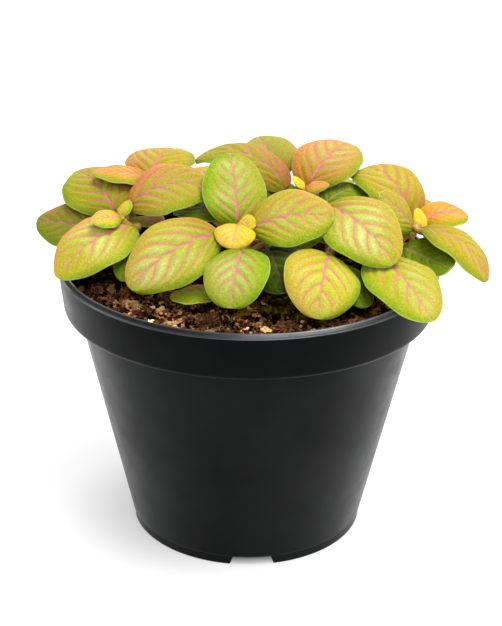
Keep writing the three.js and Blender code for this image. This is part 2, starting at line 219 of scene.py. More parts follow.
# A pale painted sheen that stands in for light glancing off the blades' fine hairs
PAINTED_SHEEN_COLOUR = (220, 222, 150)
RIB_PINK = (225, 130, 148)
VEIN_PINK = (223, 128, 134)
VEIN_SALMON = (212, 124, 96)
VEIN_BASE = (150, 72, 44)
BLUSH = (224, 144, 98)
RIM_GREEN = (124, 174, 14)
# Painted light: a thin pale line along each blade's rim
PAINTED_RIM_LIGHT = (226, 230, 150)
STEM_OLIVE = (192, 170, 50)
STEM_RED = (202, 124, 52)
HAIR = (236, 222, 180)
EARTH = {
    "black": (18, 11, 8),
    "dark": (104, 64, 44),
    "brown": (164, 108, 70),
    "russet": (204, 134, 90),
    "tan": (250, 188, 122),
    "pale": (255, 218, 158),
    "moss": (172, 148, 44),
    "husk": (196, 152, 34),
}

Leaf = namedtuple("Leaf", "at turn rise droop roll long wide look blush bloom shade sweep base tip")
Shoot = namedtuple("Shoot", "foot top leaves")
Bit = namedtuple("Bit", "at size turn tone light", defaults=(0.9,))
Part = namedtuple("Part", "points faces slot values")

# Larger bits on the soil: where, how big, turned how far, of what earth and how much painted light
# brightens it
LITTER = [
    Bit((-36.5, -18.5), (4.8, 1.8, 1.2), -20, "pale", 5.0),
    Bit((-34, -20), (2.4, 1.4, 1.0), 30, "pale", 3.0),
    Bit((-24, -16.5), (4.2, 4.0, 4.2), 10, "russet", 1.6),
    Bit((-38.5, -13.5), (2.2, 2.0, 5.4), 0, "russet", 2.2),
    Bit((-47.5, -7.5), (3.0, 2.2, 2.0), 40, "tan", 0.8),
    Bit((-27.5, -22), (2.2, 1.4, 1.0), 60, "tan"),
    Bit((-1.5, -26.5), (7.0, 2.6, 1.0), 55, "husk", 1.8),
    Bit((2, -23.5), (3.0, 1.8, 1.2), 20, "husk", 1.4),
    Bit((4, -30), (2.6, 1.0, 0.8), 80, "pale"),
    Bit((11, -37), (6.0, 4.4, 2.0), 15, "russet"),
    Bit((-12, -33), (5.4, 3.6, 1.8), -30, "russet"),
    Bit((16, -27), (4.2, 2.2, 1.6), 25, "moss"),
    Bit((24, -28), (3.0, 1.6, 1.2), -40, "moss"),
    Bit((39, -22), (3.4, 1.6, 1.4), 60, "tan", 1.6),
    Bit((34, -26), (2.0, 1.4, 1.2), 10, "russet", 2.0),
    Bit((43, -17), (1.8, 1.2, 1.0), 80, "tan", 1.6),
    Bit((-43, -15), (2.4, 1.8, 1.6), 50, "russet", 1.8),
    Bit((-46, -20), (1.8, 1.2, 1.0), 0, "tan", 1.2),
]
LITTER_BRIGHTEST = 1.6


def leaf(at, aim, size, look, marks, sweep=0, ends=(BASE_POWER, TIP_POWER)):
    """One leaf: where its blade begins, from the shoot's foot; how it is aimed; its size and its looks.

    The marks say how much it is blushed, how much painted sheen it has and how bright it is, a brightness
    that is partly its own colour and partly painted shade. The sweep turns it aside along its length, and
    low numbers in its ends make its base and its tip blunter.
    """
    return Leaf(at, *aim, *size, look, *marks, sweep, *ends)


# The marks of plain leaves low down
DIM = (0.1, 0.0, 1.0)

SHOOTS = {
    "shoot_left": Shoot((-30, -4), (-9.5, -1.5, 22), [
        leaf((-16, 2, 16), (155, 10, 20, -40), (24, 17), "fresh", (0.9, 0.1, 0.55)),
        leaf((-11.5, 5.5, 21.5), (125, 30, 35, -15), (28, 23), "lime", (0.9, 0.3, 0.72), -5),
        leaf((-5, -1.5, 19.8), (-145, 5, 55, -15), (31, 23), "lime", (0.8, 0.9, 0.97), -5),
        leaf((-7.5, 2.5, 24), (5, 50, 75, 25), (29, 22), "turning", (0.95, 0.3, 0.8), -5),
        leaf((-5, -5, 13.5), (-100, 0, 40, 10), (15, 11), "deep", DIM, -5),
        leaf((-9.5, -3, 23), (-150, 15, 25, -30), (10, 7.5), "golden", (0.6, 0.5, 1.1)),
        leaf((-10, -1, 22.5), (55, 50, 20, 0), (6.5, 5), "golden", (0.2, 0.5, 1.0)),
    ]),
    "shoot_middle_left": Shoot((-27, 12), (-6.5, 5, 26.5), [
        leaf((-6, 8, 26.5), (75, 20, 35, 0), (29, 23), "golden", (1.0, 0.4, 0.74)),
        leaf((-5, 2, 28.5), (185, 20, 25, -10), (18, 12.5), "amber", (0.8, 0.7, 0.88)),
    ]),
    "shoot_centre": Shoot((0, -11), (-3, -3.5, 21.5), [
        leaf((-3.5, -1, 23), (100, 55, 15, 0), (24, 20), "fresh", (0.35, 1.0, 0.92), 0, ROUND),
        leaf((0.5, -4, 22.5), (-5, 35, 50, 40), (26, 20), "lime", (0.62, 0.8, 0.9), 5, (0.64, 0.42)),
        leaf((-8.8, -6, 22), (-155, 0, 50, -30), (33, 24), "lime", (0.6, 1.0, 0.92)),
        leaf((-2, -13, 20), (-100, -5, 50, 5), (23, 20), "fresh", (0.3, 0.9, 0.9), 0, (0.4, 0.4)),
        leaf((5.5, -3, 16.5), (-75, 0, 30, 20), (23, 17), "shade", (0.1, 0.0, 0.45), -5),
        leaf((3, 3, 17), (10, 15, 30, 20), (20, 15), "deep", DIM),
        leaf((-10, 5, 22.5), (135, 20, 45, -10), (19, 14), "deep", DIM),
        leaf((-8, -15, 6.5), (175, 0, 15, -10), (16, 11), "herb", (0.9, 0.0, 1.4)),
        leaf((-3.5, -4.2, 24.3), (-100, 5, 60, -5), (10.5, 12.5), "lemon", (0.4, 1.0, 0.89), 0, ROUND),
        leaf((-1.4, -4.2, 21.7), (70, 60, 15, -15), (6, 6.4), "lemon", (0.3, 0.5, 0.92)),
    ]),
    "shoot_top": Shoot((12, 12), (3.5, 2, 25), [
        leaf((-1, 2.5, 25.5), (150, 55, 90, 0), (35, 24), "turning", (1.0, 0.1, 0.68), 15, (0.36, 0.5)),
        leaf((-3, 13, 25.5), (110, 40, 45, -10), (24, 20), "fresh", (0.6, 0.3, 0.76), -5),
        leaf((6.5, 3, 26), (55, 45, 60, 10), (29, 22), "blushed", (0.95, 0.5, 0.86), 0, (0.48, 0.5)),
        leaf((11, -3, 21.5), (40, 30, 50, 10), (20, 14), "deep", DIM),
        leaf((2, 2.5, 22.5), (140, 30, 40, -15), (12, 9), "deep", DIM),
        leaf((5.5, 0, 26), (-5, 30, 30, 25), (8, 5.5), "amber", (0.7, 0.4, 0.9)),
        leaf((5, 1, 26), (135, 50, 30, 0), (5.5, 4), "lemon", (0.0, 0.5, 1.0)),
    ]),
    "shoot_middle_right": Shoot((25, -9), (-1, 0, 26), [
        leaf((-1.5, 2.5, 27.5), (-50, 5, 55, 25), (31, 23), "lime", (0.5, 1.0, 0.94), 10),
        leaf((-1, -11, 17), (-100, 0, 50, -20), (27, 24), "sunny", (0.42, 0.8, 0.92), 0, (0.5, 0.45)),
        leaf((0.5, -5, 11.5), (-60, -5, 30, -5), (21, 15), "deep", DIM),
    ]),
    "shoot_right": Shoot((38, -4), (15, 7, 18), [
        leaf((13, 14, 15.5), (130, 80, 115, -5), (33, 22), "golden", (0.6, 0.35, 0.8)),
        leaf((13, 3.5, 17.5), (190, 60, 25, -35), (17, 13), "lime", (0.55, 0.2, 0.86)),
        leaf((16, 10, 18), (25, 25, 55, 25), (18, 12), "amber", (0.7, 0.7, 0.95), -5),
        leaf((15.5, 2, 19), (-25, 5, 70, -5), (28, 21), "golden", (0.75, 0.3, 0.79), -10),
        leaf((9.5, 4, 12), (-55, 0, 0, 30), (23, 17), "deep", DIM, 5),
        leaf((0.5, -10.5, 14), (-65, 5, 40, 5), (34, 22), "lime", (0.42, 0.8, 0.94), 5),
        leaf((16.5, 6.5, 16.5), (105, 55, 25, 5), (8, 4.5), "lemon", (0.0, 0.4, 1.0)),
    ]),
}

BACK_TOP = (0, 0, 17)
BACK_LEAVES = [
    leaf((7, 0, 8), (0, 15, 45, 0), (24, 17), "fresh", (0.4, 0.5, 0.8)),
    leaf((-7, 0, 12), (180, 25, 50, 0), (24, 17), "lime", (0.5, 0.6, 0.8)),
    leaf((0, 6, 14), (90, 25, 50, 0), (23, 17), "golden", (0.6, 0.6, 0.8)),
    leaf((0, -5, 15), (270, 35, 45, 0), (16, 12), "blushed", (0.6, 0.6, 0.85)),
    leaf((1.5, 1.5, 17.5), (45, 55, 20, 0), (8, 6), "amber", (0.5, 0.6, 0.9)),
    leaf((-1.5, -1.5, 17.5), (225, 55, 20, 0), (8, 6), "lemon", (0.3, 0.7, 1.0)),
]
BACK_PLACES = [((-38, 17), 25), ((-18, 40), -15), ((13, 39), -50), ((40, 26.5), 75)]


def turned_about_z(point, turn):
    c, s = math.cos(math.radians(turn)), math.sin(math.radians(turn))
    return (c * point[0] - s * point[1], s * point[0] + c * point[1], point[2])


def back_shoot(foot, turn):
    """A shoot of the back pattern, turned about its foot."""
    leaves = [one._replace(at=turned_about_z(one.at, turn), turn=one.turn + turn) for one in BACK_LEAVES]
    return Shoot(foot, turned_about_z(BACK_TOP, turn), leaves)


for number, place in enumerate(BACK_PLACES, start=1):
    SHOOTS[f"shoot_back_{number}"] = back_shoot(*place)


# Numbers, colours and meshes
def linear(colour):
    """A colour from 0 to 255 as the linear values that shaders use."""
    share = np.array(colour, float) / 255
    return np.where(share <= 0.04045, share / 12.92, ((share + 0.055) / 1.055) ** 2.4)


def earth(tone):
    return linear(EARTH[tone])


def smooth_step(low, high, value):
    t = np.clip((value - low) / (high - low), 0, 1)
    return t * t * (3 - 2 * t)


def unit(vectors):
    return vectors / np.linalg.norm(vectors, axis=1)[:, None]


def seeded_draw(seed):
    """The same draws between 0 and 1 as the CAD source makes."""
    state = seed
    while True:
        state = (state * 1664525 + 1013904223) % 4294967296
        yield state / 4294967296


def fan(centre, first, count, flip):
    """The triangles from a point to the sides of a closed ring, which is counted from its first point."""
    here = first + np.arange(count)
    following = np.roll(here, -1)
    sides = (following, here) if flip else (here, following)
    return np.stack([np.full(count, centre), *sides], -1)


def shell_faces(rows, columns, flip=False):
    """The quads between closed rings of points, and a fan from each end to a point after the rings."""
    i, j = np.meshgrid(np.arange(rows - 1), np.arange(columns), indexing="ij")
    here, following = i * columns + j, i * columns + (j + 1) % columns
    quads = np.stack([here, following, following + columns, here + columns], -1).reshape(-1, 4)
    total = rows * columns
    start = fan(total, 0, columns, not flip)
    end = fan(total + 1, total - columns, columns, flip)
    return [quads[:, ::-1] if flip else quads, start, end]


def new_object(name, data):
    """An object in the scene."""
    made = bpy.data.objects.new(name, data)
    bpy.context.scene.collection.objects.link(made)
    return made


def object_of(shape, name):
    """An object made from a bmesh, which is freed."""
    mesh = bpy.data.meshes.new(name)
    shape.to_mesh(mesh)
    shape.free()
    return new_object(name, mesh)


def make_piece(name, parts, materials, replaces=(), smooth=True):
    """One mesh object from parts whose points are in millimetres."""
    points = np.concatenate([part.points for part in parts]) * MM
    corners, sizes, slots, start = [], [], [], 0
    for part in parts:
        for faces in part.faces:
            corners.append((faces + start).ravel())
            sizes.append(np.full(len(faces), faces.shape[1]))
            slots.append(np.full(len(faces), part.slot))
        start += len(part.points)
    corners, sizes, slots = (np.concatenate(x).astype(np.int32) for x in (corners, sizes, slots))
    starts = np.concatenate([[0], np.cumsum(sizes)[:-1]]).astype(np.int32)
    mesh = bpy.data.meshes.new(name)
    mesh.vertices.add(len(points))
    mesh.vertices.foreach_set("co", points.astype(np.float32).ravel())
    mesh.loops.add(len(corners))
    mesh.loops.foreach_set("vertex_index", corners)
    mesh.polygons.add(len(sizes))
    mesh.polygons.foreach_set("loop_start", starts)
    mesh.polygons.foreach_set("material_index", slots)
    mesh.polygons.foreach_set("use_smooth", np.full(len(sizes), smooth))
    mesh.update(calc_edges=True)
    for key in sorted({key for part in parts for key in part.values}):
        blank = np.zeros(3)
        rows = [np.broadcast_to(part.values.get(key, blank), (len(part.points), 3)) for part in parts]
        held = mesh.attributes.new(key, "FLOAT_VECTOR", "POINT")
        held.data.foreach_set("vector", np.concatenate(rows).astype(np.float32).ravel())
    for material in materials:
        mesh.materials.append(material)
    piece = new_object(name, mesh)
    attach(piece, "root")
    if replaces:
        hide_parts(*replaces)
    return piece


def tube(path, radii, sides, tint, slot=0):
    """A rod along a path with closed ends, a radius at each point and one tint or one for each point."""
    ahead = unit(np.gradient(path, axis=0))
    normal = np.cross(ahead[0], (0, 0, 1) if abs(ahead[0][2]) < 0.9 else (1, 0, 0))
    angles = np.linspace(0, 2 * np.pi, sides, endpoint=False)[:, None]
    cosines, sines = np.cos(angles), np.sin(angles)
    rings = []
    for point, radius, tangent in zip(path, radii, ahead):
        normal = normal - tangent * (normal @ tangent)
        normal /= np.linalg.norm(normal)
        other = np.cross(tangent, normal)
        rings.append(point + radius * (cosines * normal + sines * other))
    points = np.concatenate([*rings, path[:1], path[-1:]])
    tint = np.broadcast_to(tint, (len(path) * sides, 3))
    tint = np.concatenate([tint, tint[:1], tint[-1:]])
    return Part(points, shell_faces(len(path), sides), slot, {"tint": tint})


# The shapes of stems and leaves, by the same rules as in the CAD source
def blade_frame(one, share):
    """The directions along, across and out of a blade at shares of its length."""
    share = np.atleast_1d(share)
    slope = np.radians(one.rise - one.droop * share)
    turn = np.radians(one.turn + one.sweep * share)
    roll = math.radians(one.roll)
    along = np.stack([np.cos(slope) * np.cos(turn), np.cos(slope) * np.sin(turn), np.sin(slope)], -1)
    level = np.stack([-np.sin(turn), np.cos(turn), np.zeros_like(turn)], -1)
    across = level * math.cos(roll) + np.cross(along, level) * math.sin(roll)
    return along, across, np.cross(along, across)


def midrib(one, origin, shares):
    """The midrib's points, stepped along the blade's arc."""
    middles = (shares[1:] + shares[:-1]) / 2
    steps = blade_frame(one, middles)[0] * (np.diff(shares) * one.long)[:, None]
    return origin + np.concatenate([np.zeros((1, 3)), np.cumsum(steps, axis=0)])


def half_width(one, share):
    power = one.base + (one.tip - one.base) * share
    return one.wide / 2 * np.sin(np.pi * share**BLADE_WIDEST) ** power


def vein_phase(share, v):
    """Whole numbers lie on veins, which leave the midrib and bend towards the tip."""
    reach = np.log(1 - VEIN_REACH * np.abs(v))
    return VEINS * (share + VEIN_BEND * reach) + VEIN_STAGGER * np.tanh(60 * v)


def puffed(one, share, v, wave):
    """How far the surface lies above the plain blade: puffed up between veins, waved at the rim."""
    size = one.long / USUAL_LENGTH
    away = np.abs(vein_phase(share, v) - np.round(vein_phase(share, v)))
    arch = np.sin(np.pi * away) ** 0.6
    inside = (1 - np.abs(v) ** 5) * smooth_step(0, 0.12, share) * (1 - smooth_step(0.6, 1, share))
    groove = np.exp(-((v * half_width(one, share) / (GROOVE_WIDTH * size)) ** 2)) * (1 - 0.6 * share)
    rim = np.sin(2 * np.pi * RIM_WAVES * share + wave + np.sign(v) * 1.1) * np.abs(v) ** 4
    rumple = np.sin(5.1 * share + 2.3 * v + wave) * np.cos(3.7 * v - wave) * np.abs(v)
    return size * (PUFF * arch * inside - GROOVE * groove * inside + RIM_WAVE * rim + RUMPLE * rumple)


def blade_rows(rows):
    """Shares of the length, closer together at both ends."""
    even = np.linspace(0, 1, rows + 1)
    return 0.3 * even + 0.7 * (1 - np.cos(np.pi * even)) / 2


def blade_columns(columns):
    """Places across the blade from -1 to 1, closer together at the midrib, and one beside each rim."""
    even = np.linspace(-1, 1, columns - 1)
    inner = even * (0.62 + 0.38 * even**2) * RIM_START
    return np.concatenate([[-1], inner, [1]])


def sheet_indices(rows, columns):
    """The points of two sheets that share their outer columns, and the number of the next point."""
    upper = np.arange(rows * columns).reshape(rows, columns)
    lower = upper.copy()
    lower[:, 1:-1] = upper.size + np.arange(rows * (columns - 2)).reshape(rows, columns - 2)
    return upper, lower, upper.size + rows * (columns - 2)


def sheet_faces(index, base, tip):
    """The quads of a sheet of points, and the triangles that close it to its base and its tip."""
    corners = [index[:-1, :-1], index[1:, :-1], index[1:, 1:], index[:-1, 1:]]
    count = index.shape[1] - 1
    first = np.stack([np.full(count, base), index[0, :-1], index[0, 1:]], -1)
    last = np.stack([np.full(count, tip), index[-1, 1:], index[-1, :-1]], -1)
    return [np.stack(corners, -1).reshape(-1, 4), first, last]


def blade(one, origin, number, rows, columns):
    """One blade as a closed sheet with a rounded rim, and what each of its points carries."""
    shares = blade_rows(rows)
    spine = midrib(one, origin, shares)
    _, across, out = blade_frame(one, shares)
    share, v = np.meshgrid(shares[1:-1], blade_columns(columns), indexing="ij")
    half = half_width(one, share)
    fold = math.sin(math.radians(BLADE_FOLD))
    lift = half * (fold * np.abs(v) - BLADE_CURL * v**2) + puffed(one, share, v, WAVE_SHIFT * number)
    thick = BLADE_THICKNESS * np.sqrt(np.clip(1 - np.abs(v) ** RIM_CRISPNESS, 0, 1)) / 2
    middle = spine[1:-1, None] + across[1:-1, None] * (half * v)[..., None]
    upper = middle + out[1:-1, None] * (lift + thick)[..., None]
    lower = (middle + out[1:-1, None] * (lift - thick)[..., None])[:, 1:-1]
    points = np.concatenate([upper.reshape(-1, 3), lower.reshape(-1, 3), spine[:1], spine[-1:]])
    above, below, base = sheet_indices(*share.shape)
    top, top_base, top_tip = sheet_faces(above, base, base + 1)
    low, low_base, low_tip = (faces[:, ::-1] for faces in sheet_faces(below, base, base + 1))
    faces = [top, low, top_base, top_tip, low_base, low_tip]
    return Part(points, faces, 0, blade_values(one, share, v, half))


def spread(upper, lower):
    """What the points of a blade carry, in their order: upper sheet, lower sheet, base and tip."""
    ends = np.stack([upper[0, upper.shape[1] // 2], upper[-1, upper.shape[1] // 2]])
    return np.concatenate([upper.reshape(-1, 3), lower[:, 1:-1].reshape(-1, 3), ends])


def blade_values(one, share, v, half):
    """What the leaf material reads at each point: veins, place on the blade, tint and blush."""
    away = np.abs(v)
    bend = VEIN_BEND * VEIN_REACH / ((1 - VEIN_REACH * away) * np.maximum(half, 0.5))
    density = VEINS * np.sqrt(1 / one.long**2 + bend**2)
    finer = max(1, BUD_LENGTH * 1.3 / one.long)
    vein = np.stack([vein_phase(share, v), density / finer, v * half * finer], -1)
    rim = np.minimum(half * (1 - away), one.long * np.minimum(share, 1 - share) * 1.2) * finer
    upper, lower = (np.stack([share, rim, np.full_like(share, side)], -1) for side in (1, 0))
    look = LOOKS[one.look]
    sunny_side = v * np.sign(math.cos(math.radians(one.turn)))
    blushed = one.blush * (0.3 + 0.9 * smooth_step(-0.2, 0.8, sunny_side))
    mood = np.stack([blushed, np.full_like(share, one.bloom), np.full_like(share, look.veins)], -1)
    return {
        "vein": spread(vein, vein),
        "place": spread(upper, lower),
        "tint": linear(look.colour),
        "mood": spread(mood, mood),
        "light": np.array([one.shade, look.tip, look.base]),
    }


def bezier(start, bend, end, share):
    share = share[:, None]
    return (1 - share) ** 2 * start + 2 * share * (1 - share) * bend + share**2 * end


def stem_points(shoot, shares):
    """The stem's middle above its straight foot."""
    (x, y), (dx, dy, dz) = shoot.foot, shoot.top
    start = np.array([x, y, SOIL_LEVEL + STEM_STRAIGHT - STEM_OVERLAP])
    bend_x, bend_y = x + STEM_BEND_REACH * dx, y + STEM_BEND_REACH * dy
    bend = np.array([bend_x, bend_y, SOIL_LEVEL + STEM_BEND_HEIGHT * dz])
    end = np.array([x + dx, y + dy, SOIL_LEVEL + dz])
    return bezier(start, bend, end, shares)


def through(points, count):
    """A smooth curve through some points, with so many steps from each to the next."""
    points = np.asarray(points, float)
    padded = np.concatenate([[2 * points[0] - points[1]], points, [2 * points[-1] - points[-2]]])
    made = []
    for i in range(len(points) - 1):
        a, b, c, d = padded[i : i + 4]
        t = np.linspace(0, 1, count, endpoint=i == len(points) - 2)[:, None]
        bend = (2 * a - 5 * b + 4 * c - d) * t**2
        twist = (3 * b - a - 3 * c + d) * t**3
        made.append(0.5 * (2 * b + (c - a) * t + bend + twist))
    return np.concatenate(made)


def two_tone(path, sides):
    """Olive on one side of a stem and reddish brown on the other, mixed along it."""
    olive, red = linear(STEM_OLIVE), linear(STEM_RED)
    turn = np.linspace(0, 2 * np.pi, sides, endpoint=False)
    run = np.linspace(0, 3, len(path))
    share = 0.5 + 0.4 * np.sin(turn[None, :] + run[:, None]) + 0.1 * np.sin(4 * run)[:, None]
    return (olive + (red - olive) * np.clip(share, 0, 1)[..., None]).reshape(-1, 3)


def stalk(one, origin, samples, number):
    """The leaf's hairy stalk from one of the stem's points, and its rib that runs on under the blade."""
    reach = np.hypot(*(origin - samples)[:, :2].T)
    node = samples[np.argmin(np.abs(origin[2] - STALK_FALL * reach - samples[:, 2]))]
    along = blade_frame(one, 0)[0][0]
    lead = origin - along * STALK_LEAD * np.linalg.norm(node - origin)
    shares = np.linspace(0, RIB_REACH, RIB_RINGS)
    radius = BUD_STALK_RADIUS if one.long < BUD_LENGTH else STALK_RADIUS
    thin = np.linspace(1, RIB_THIN, RIB_RINGS)
    sunk = radius * thin + GROOVE * one.long / USUAL_LENGTH
    rib = midrib(one, origin, shares) - blade_frame(one, shares)[2] * sunk[:, None]
    free = through([node, lead, rib[0], rib[2]], STALK_RINGS)[:-STALK_RINGS]
    swell = np.interp(np.arange(len(free)), [0, 3, len(free) - 1], [1.35, 0.95, 1])
    path, radii = np.concatenate([free, rib]), radius * np.concatenate([swell, thin])
    tint = two_tone(path, STALK_SIDES)
    return [tube(path, radii, STALK_SIDES, tint, slot=1), hairs(free, radii[: len(free)], number)]


def stem(shoot):
    """A hairy stem with a straight foot in the soil, swollen a little where stalks join."""
    shares = np.linspace(0, 1, STEM_RINGS)
    upper = stem_points(shoot, shares)
    foot = upper[0] + np.array([[0, 0, -6], [0, 0, -4], [0, 0, -2]])
    ahead = upper[-1] - upper[-2]
    ahead /= np.linalg.norm(ahead)
    cap = upper[-1] + ahead * np.array([[0.5], [0.9], [1.1]])
    knot = STEM_KNOT["swell"] * np.exp(-(((shares - STEM_KNOT["at"]) / STEM_KNOT["reach"]) ** 2))
    radius = STEM_RADIUS * (1 - STEM_TAPER * shares + knot)
    radii = np.concatenate([[STEM_RADIUS] * 3, radius, radius[-1] * np.array([0.9, 0.6, 0.2])])
    path = np.concatenate([foot, upper, cap])
    seed = int(1000 + shoot.foot[0])
    return [tube(path, radii, STEM_SIDES, two_tone(path, STEM_SIDES), slot=1), hairs(upper, radius, seed)]


def hairs(path, radii, seed):
    """Fine hairs that stand out from a stem or stalk, each a slim closed spike."""
    draw = np.random.default_rng(seed)
    run = np.concatenate([[0], np.cumsum(np.linalg.norm(np.diff(path, axis=0), axis=1))])
    count = int(run[-1] * HAIRS_PER_MM)
    at = draw.uniform(0, run[-1], count)
    slope = np.gradient(path, axis=0)
    middle, ahead = (np.stack([np.interp(at, run, part) for part in x.T], -1) for x in (path, slope))
    ahead = unit(ahead)
    out = unit(np.cross(ahead, draw.normal(size=(count, 3))))
    lean = unit(out + HAIR_LEAN * draw.normal(size=(count, 3)))
    side = unit(np.cross(lean, ahead))
    other = np.cross(lean, side)
    foot = middle + out * (0.9 * np.interp(at, run, radii))[:, None]
    turns = 2 * np.pi * np.arange(3) / 3
    corners = [foot + HAIR_RADIUS * (math.cos(a) * side + math.sin(a) * other) for a in turns]
    tip = foot + lean * draw.uniform(*HAIR_LENGTH, count)[:, None]
    points = np.stack([*corners, tip], axis=1).reshape(-1, 3)
    spike = np.array([[0, 1, 3], [1, 2, 3], [2, 0, 3], [0, 2, 1]])
    faces = (4 * np.arange(count)[:, None, None] + spike).reshape(-1, 3)
    return Part(points, [faces], 1, {"tint": linear(HAIR)})


def make_shoot(name, shoot, materials, first_number):
    """All the leaves of a shoot, its stalks and its stem as one piece."""
    behind = name.startswith("shoot_back")
    samples = stem_points(shoot, np.linspace(0, 1, STEM_SAMPLES + 1))
    parts = stem(shoot)
    for number, one in enumerate(shoot.leaves, start=first_number):
        origin = np.array([*shoot.foot, SOIL_LEVEL]) + np.array(one.at)
        grid = PLAIN_GRID if behind or one.long < BUD_LENGTH else BLADE_GRID
        parts.append(blade(one, origin, number, *grid))
        parts += stalk(one, origin, samples, number)
    make_piece(name + "_leafy", parts, materials, [name])


# Materials
def rgba(colour):
    return (*linear(colour), 1)


class Nodes:
    """A new material, and the nodes that make its look."""

    def __init__(self, name):
        self.material = bpy.data.materials.new(name)
        self.material.use_nodes = True
        self.tree = self.material.node_tree
        self.shader = self.tree.nodes["Principled BSDF"]
        self.place = self.add("TexCoord", {}, "Object")

    def feed(self, socket, value):
        """An input of a node as a value or as a link."""
        if isinstance(value, bpy.types.NodeSocket):
            self.tree.links.new(value, socket)
        else:
            socket.default_value = value

    def set(self, **inputs):
        """The shader's inputs, whose names are written with underscores here."""
        for key, value in inputs.items():
            self.feed(self.shader.inputs[key.replace("_", " ")], value)

    def add(self, kind, inputs, output=0, **settings):
        """An output of a new node with its inputs and settings."""
        node = self.tree.nodes.new("ShaderNode" + kind)
        for key, value in settings.items():
            setattr(node, key, value)
        for key, value in inputs.items():
            self.feed(node.inputs[key], value)
        return node.outputs[output]

    def compute(self, operation, *values):
        """The result of a Math node."""
        return self.add("Math", dict(enumerate(values)), operation=operation)

    def times(self, product, *factors):
        for factor in factors:
            product = self.compute("MULTIPLY", product, factor)
        return product

    def ramp(self, value, low, high, to_low=0.0, to_high=1.0):
        """A smooth step of a value from one range to another."""
        inputs = {"Value": value, "From Min": low, "From Max": high, "To Min": to_low, "To Max": to_high}
        return self.add("MapRange", inputs, interpolation_type="SMOOTHSTEP")

    def fade(self, value, near, far, most=1.0):
        """A smooth step down to nothing."""
        return self.ramp(value, near, far, most, 0.0)

    def mix(self, share, first, second):
        """Two colours mixed by a share."""
        return self.add("Mix", {0: share, 6: first, 7: second}, 2, data_type="RGBA")

    def toned(self, colour, saturation, value):
        """A colour whose saturation and value are multiplied."""
        return self.add("HueSaturation", {"Color": colour, "Saturation": saturation, "Value": value})

    def carried(self, name):
        """A vector that the mesh carries."""
        return self.add("Attribute", {}, "Vector", attribute_name=name)

    def parts(self, name):
        """The three parts of a vector that the mesh carries."""
        vector = self.carried(name)
        return [self.add("SeparateXYZ", {"Vector": vector}, part) for part in range(3)]

    def speckle(self, scale, detail=2.0, roughness=0.5):
        """Noise over the object, with its scale in lumps to the metre."""
        inputs = {"Vector": self.place, "Scale": scale, "Detail": detail, "Roughness": roughness}
        return self.add("TexNoise", inputs, "Fac")

    def cells(self, scale, feature):
        """Distances in a pattern of cells over the object, with its scale in cells to the metre."""
        return self.add("TexVoronoi", {"Vector": self.place, "Scale": scale}, feature=feature)

    def bump(self, height, strength, distance):
        """A surface with bumps, whose distance is in millimetres."""
        return self.add("Bump", {"Height": height, "Strength": strength, "Distance": distance * MM})


def vein_masks(nodes, share, rim):
    """Where side veins and the midrib show, and the distance to the nearest of them in millimetres."""
    phase, density, across = nodes.parts("vein")
    wobble = nodes.compute("MULTIPLY_ADD", nodes.speckle(260, 1.0), 0.3, -0.15)
    drift = nodes.compute("MULTIPLY_ADD", nodes.speckle(50, 1.0), 0.6, -0.3)
    moved = nodes.compute("ADD", phase, nodes.compute("ADD", wobble, drift))
    vein_distance = nodes.compute("DIVIDE", nodes.compute("PINGPONG", moved, 0.5), density)
    rib_distance = nodes.compute("ABSOLUTE", across)

    # Side veins thin out, fade towards the rim and are broken in places, and a fine net links them
    width = nodes.ramp(rim, 1.0, 6.5, 0.18, 0.42)
    vein = nodes.fade(nodes.compute("DIVIDE", vein_distance, width), 0.25, 1.0)
    faded = nodes.ramp(rim, 1.2, 5.5)
    broken = nodes.ramp(nodes.speckle(170), 0.3, 0.55, 0.5, 1.0)
    net = nodes.fade(nodes.cells(420, "DISTANCE_TO_EDGE"), 0.0, 0.09, 0.15)
    side = nodes.compute("MAXIMUM", nodes.times(vein, faded, broken), net)
    width = nodes.ramp(share, 0.0, 1.0, 0.62, 0.2)
    rib = nodes.fade(nodes.compute("DIVIDE", rib_distance, width), 0.35, 1.0)
    return side, rib, nodes.compute("MINIMUM", vein_distance, rib_distance)


